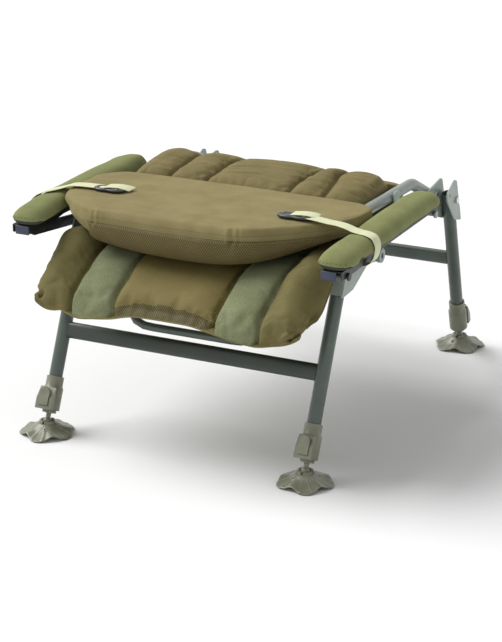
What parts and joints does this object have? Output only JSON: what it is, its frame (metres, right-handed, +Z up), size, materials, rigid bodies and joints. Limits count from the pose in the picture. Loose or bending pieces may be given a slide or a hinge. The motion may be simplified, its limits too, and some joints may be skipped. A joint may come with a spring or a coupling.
{
  "type": "folding fishing chair",
  "caption": "Folding recliner chair with telescopic swivel-footed legs, padded seat and backrest, head pillow and linked padded armrests, stored folded.",
  "frame": {"origin": "On the ground, in the middle of the four feet.", "axes": "+Z up, -Y the way the sitter faces, X across the chair. Left in a name is the -X side, on the left as seen from the front."},
  "size_m": [0.6694, 0.858, 0.4315],
  "materials": {
    "powder_coat": "satin",
    "leg_coat": "satin",
    "bracket_coat": "satin",
    "moulded_polymer": "semi-gloss",
    "black_nylon": "matte",
    "zinc_steel": "bright",
    "khaki_cloth": "woven",
    "olive_cloth": "woven",
    "webbing": "woven"
  },
  "bodies": {
    "seat_frame": {"seat_rail_left": "powder_coat", "seat_rail_right": "powder_coat", "seat_front_tube": "powder_coat", "seat_rear_tube": "powder_coat", "front_hoop": "powder_coat", "seat_sling": "khaki_cloth", "seat_cushion": "khaki_cloth", "fold_roll": "khaki_cloth", "leg_bracket_front_left": "bracket_coat", "leg_bracket_rear_left": "bracket_coat", "leg_bolt_front_left": "zinc_steel", "leg_bolt_rear_left": "zinc_steel", "link_boss_left": "powder_coat", "leg_bracket_front_right": "bracket_coat", "leg_bracket_rear_right": "bracket_coat", "leg_bolt_front_right": "zinc_steel", "leg_bolt_rear_right": "zinc_steel", "link_boss_right": "powder_coat"},
    "front_legs": {"front_leg_left": "leg_coat", "front_leg_right": "leg_coat", "front_crossbar": "leg_coat", "lock_collar_front_left": "moulded_polymer", "lock_collar_front_right": "moulded_polymer"},
    "rear_legs": {"rear_leg_left": "leg_coat", "rear_leg_right": "leg_coat", "rear_crossbar": "leg_coat", "lock_collar_rear_left": "moulded_polymer", "lock_collar_rear_right": "moulded_polymer"},
    "backrest": {"backrest_tube_left": "powder_coat", "backrest_bolt_left": "zinc_steel", "armrest_lug_left": "bracket_coat", "strap_buckle_left": "black_nylon", "backrest_tube_right": "powder_coat", "backrest_bolt_right": "zinc_steel", "armrest_lug_right": "bracket_coat", "strap_buckle_right": "black_nylon", "backrest_top_tube": "powder_coat", "back_pad": "khaki_cloth", "pillow": "khaki_cloth"},
    "inner_leg_front_left": {"inner_leg_front_left": "leg_coat"},
    "mud_foot_front_left": {"mud_foot_front_left": "moulded_polymer"},
    "lock_tab_front_left": {"lock_tab_front_left": "moulded_polymer"},
    "inner_leg_front_right": {"inner_leg_front_right": "leg_coat"},
    "mud_foot_front_right": {"mud_foot_front_right": "moulded_polymer"},
    "lock_tab_front_right": {"lock_tab_front_right": "moulded_polymer"},
    "inner_leg_rear_left": {"inner_leg_rear_left": "leg_coat"},
    "mud_foot_rear_left": {"mud_foot_rear_left": "moulded_polymer"},
    "lock_tab_rear_left": {"lock_tab_rear_left": "moulded_polymer"},
    "inner_leg_rear_right": {"inner_leg_rear_right": "leg_coat"},
    "mud_foot_rear_right": {"mud_foot_rear_right": "moulded_polymer"},
    "lock_tab_rear_right": {"lock_tab_rear_right": "moulded_polymer"},
    "armrest_left": {"armrest_base_left": "black_nylon", "armrest_pad_left": "olive_cloth", "holding_strap_left": "webbing"},
    "link_left": {"front_link_left": "black_nylon"},
    "armrest_right": {"armrest_base_right": "black_nylon", "armrest_pad_right": "olive_cloth", "holding_strap_right": "webbing"},
    "link_right": {"front_link_right": "black_nylon"}
  },
  "joints": [
    {"name": "front_legs_fold", "type": "hinge", "parent": "seat_frame", "child": "front_legs", "pos_m": [0, -0.226, 0.361], "axis": [1, 0, 0], "range_deg": [0, 94]},
    {"name": "rear_legs_fold", "type": "hinge", "parent": "seat_frame", "child": "rear_legs", "pos_m": [0, 0.286, 0.334], "axis": [-1, 0, 0], "range_deg": [0, 50]},
    {"name": "backrest_fold", "type": "hinge", "parent": "seat_frame", "child": "backrest", "pos_m": [0, 0.25, 0.35], "axis": [-1, 0, 0], "range_deg": [0, 125], "deforming": ["fold_roll", "holding_strap_left", "holding_strap_right"]},
    {"name": "armrest_left_turn", "type": "hinge", "parent": "backrest", "child": "armrest_left", "pos_m": [-0.3, 0.05, 0.374], "axis": [-1, 0, 0], "range_deg": [-125, 0]},
    {"name": "link_left_turn", "type": "hinge", "parent": "seat_frame", "child": "link_left", "pos_m": [-0.288, -0.15, 0.35], "axis": [-1, 0, 0], "range_deg": [0, 125]},
    {"name": "armrest_right_turn", "type": "hinge", "parent": "backrest", "child": "armrest_right", "pos_m": [0.3, 0.05, 0.374], "axis": [-1, 0, 0], "range_deg": [-125, 0]},
    {"name": "link_right_turn", "type": "hinge", "parent": "seat_frame", "child": "link_right", "pos_m": [0.288, -0.15, 0.35], "axis": [-1, 0, 0], "range_deg": [0, 125]},
    {"name": "leg_front_left_slide", "type": "slide", "parent": "front_legs", "child": "inner_leg_front_left", "axis": [0, 0.4114, 0.9115], "range_m": [-0.13, 0]},
    {"name": "foot_front_left_swivel", "type": "hinge", "parent": "inner_leg_front_left", "child": "mud_foot_front_left", "pos_m": [-0.2575, -0.379, 0.022], "axis": [1, 0, 0], "range_deg": [-12, 12]},
    {"name": "lock_front_left_press", "type": "slide", "parent": "front_legs", "child": "lock_tab_front_left", "axis": [0, 0.9115, -0.4114], "range_m": [0, 0.002], "stiffness_N_per_m": 400},
    {"name": "leg_front_right_slide", "type": "slide", "parent": "front_legs", "child": "inner_leg_front_right", "axis": [0, 0.4114, 0.9115], "range_m": [-0.13, 0]},
    {"name": "foot_front_right_swivel", "type": "hinge", "parent": "inner_leg_front_right", "child": "mud_foot_front_right", "pos_m": [0.2575, -0.379, 0.022], "axis": [1, 0, 0], "range_deg": [-12, 12]},
    {"name": "lock_front_right_press", "type": "slide", "parent": "front_legs", "child": "lock_tab_front_right", "axis": [0, 0.9115, -0.4114], "range_m": [0, 0.002], "stiffness_N_per_m": 400},
    {"name": "leg_rear_left_slide", "type": "slide", "parent": "rear_legs", "child": "inner_leg_rear_left", "axis": [0, -0.2857, 0.9583], "range_m": [-0.13, 0]},
    {"name": "foot_rear_left_swivel", "type": "hinge", "parent": "inner_leg_rear_left", "child": "mud_foot_rear_left", "pos_m": [-0.2575, 0.379, 0.022], "axis": [1, 0, 0], "range_deg": [-12, 12]},
    {"name": "lock_rear_left_press", "type": "slide", "parent": "rear_legs", "child": "lock_tab_rear_left", "axis": [0, -0.9583, -0.2857], "range_m": [0, 0.002], "stiffness_N_per_m": 400},
    {"name": "leg_rear_right_slide", "type": "slide", "parent": "rear_legs", "child": "inner_leg_rear_right", "axis": [0, -0.2857, 0.9583], "range_m": [-0.13, 0]},
    {"name": "foot_rear_right_swivel", "type": "hinge", "parent": "inner_leg_rear_right", "child": "mud_foot_rear_right", "pos_m": [0.2575, 0.379, 0.022], "axis": [1, 0, 0], "range_deg": [-12, 12]},
    {"name": "lock_rear_right_press", "type": "slide", "parent": "rear_legs", "child": "lock_tab_rear_right", "axis": [0, -0.9583, -0.2857], "range_m": [0, 0.002], "stiffness_N_per_m": 400}
  ],
  "couplings": [
    {"joint": "armrest_left_turn", "follows": "backrest_fold", "ratio": -1},
    {"joint": "link_left_turn", "follows": "backrest_fold", "ratio": 1},
    {"joint": "armrest_right_turn", "follows": "backrest_fold", "ratio": -1},
    {"joint": "link_right_turn", "follows": "backrest_fold", "ratio": 1}
  ]
}
